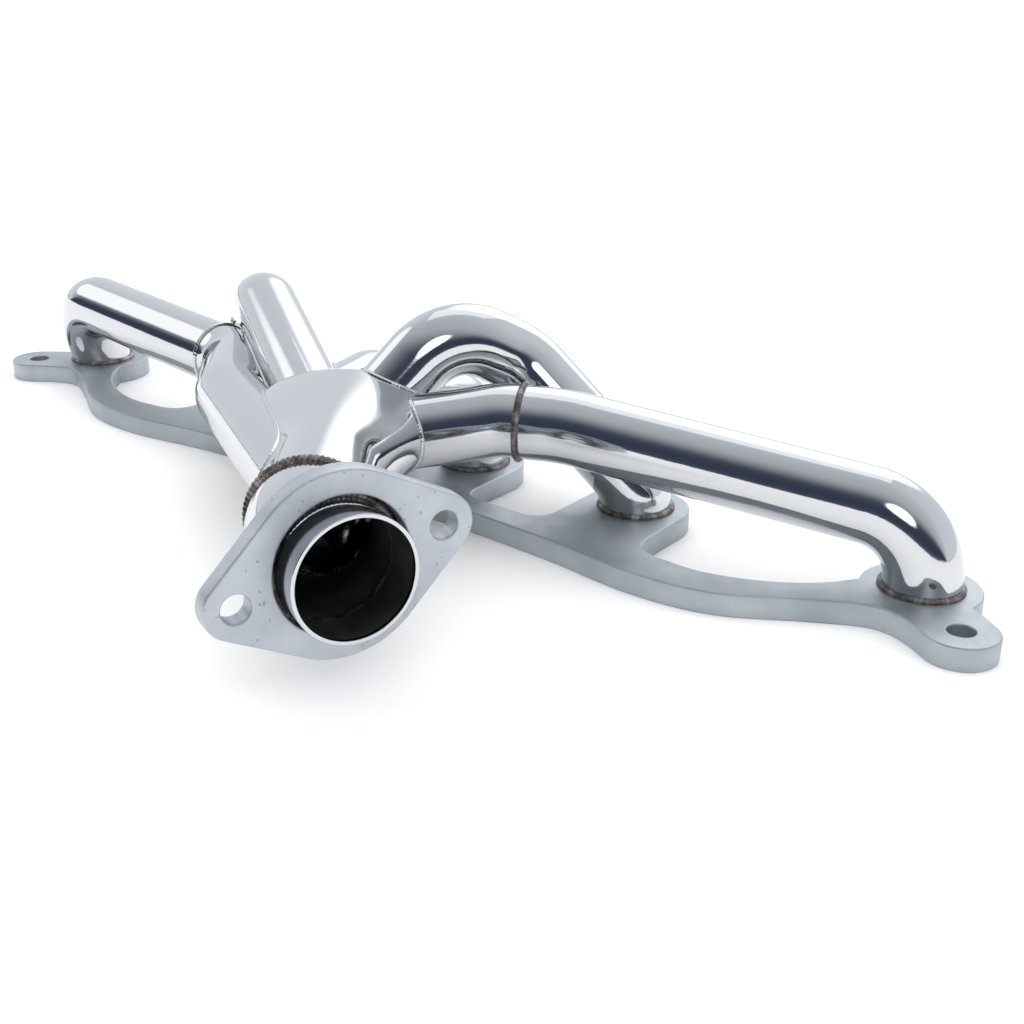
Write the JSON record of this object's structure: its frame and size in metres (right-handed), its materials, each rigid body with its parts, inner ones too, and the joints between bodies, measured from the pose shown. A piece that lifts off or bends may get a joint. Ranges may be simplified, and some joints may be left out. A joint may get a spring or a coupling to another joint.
{
  "type": "exhaust manifold",
  "caption": "Tubular exhaust manifold for an inline six: bent primary tubes on a lobed head flange meet in an oval collector with a bolted outlet flange.",
  "frame": {"origin": "middle of the row of ports, on the mating face of the head flange", "axes": "+X along the head flange towards port 6, +Z out of the mating face towards the tubes, -Y towards the outlet"},
  "size_m": [0.7056, 0.3111, 0.116],
  "materials": {
    "polished_tube": "mirror-polished stainless steel",
    "blasted_flange": "satin, blasted, with fine pits",
    "tinted_weld": "weld bead with brown heat tint"
  },
  "bodies": {
    "root": {"primary_tube_1": "polished_tube", "primary_tube_2": "polished_tube", "primary_tube_3": "polished_tube", "primary_tube_4": "polished_tube", "primary_tube_5": "polished_tube", "primary_tube_6": "polished_tube", "elbow_tube_1": "polished_tube", "elbow_tube_6": "polished_tube", "collector_body": "polished_tube", "outlet_pipe": "polished_tube", "head_flange": "blasted_flange", "outlet_flange": "blasted_flange", "port_weld_1": "tinted_weld", "port_weld_2": "tinted_weld", "port_weld_3": "tinted_weld", "port_weld_4": "tinted_weld", "port_weld_5": "tinted_weld", "port_weld_6": "tinted_weld", "merge_weld_1": "tinted_weld", "merge_weld_2": "tinted_weld", "merge_weld_3": "tinted_weld", "merge_weld_4": "tinted_weld", "merge_weld_5": "tinted_weld", "merge_weld_6": "tinted_weld", "joint_weld_1": "tinted_weld", "joint_weld_6": "tinted_weld", "collector_weld": "tinted_weld", "outlet_flange_weld": "tinted_weld"}
  },
  "joints": []
}
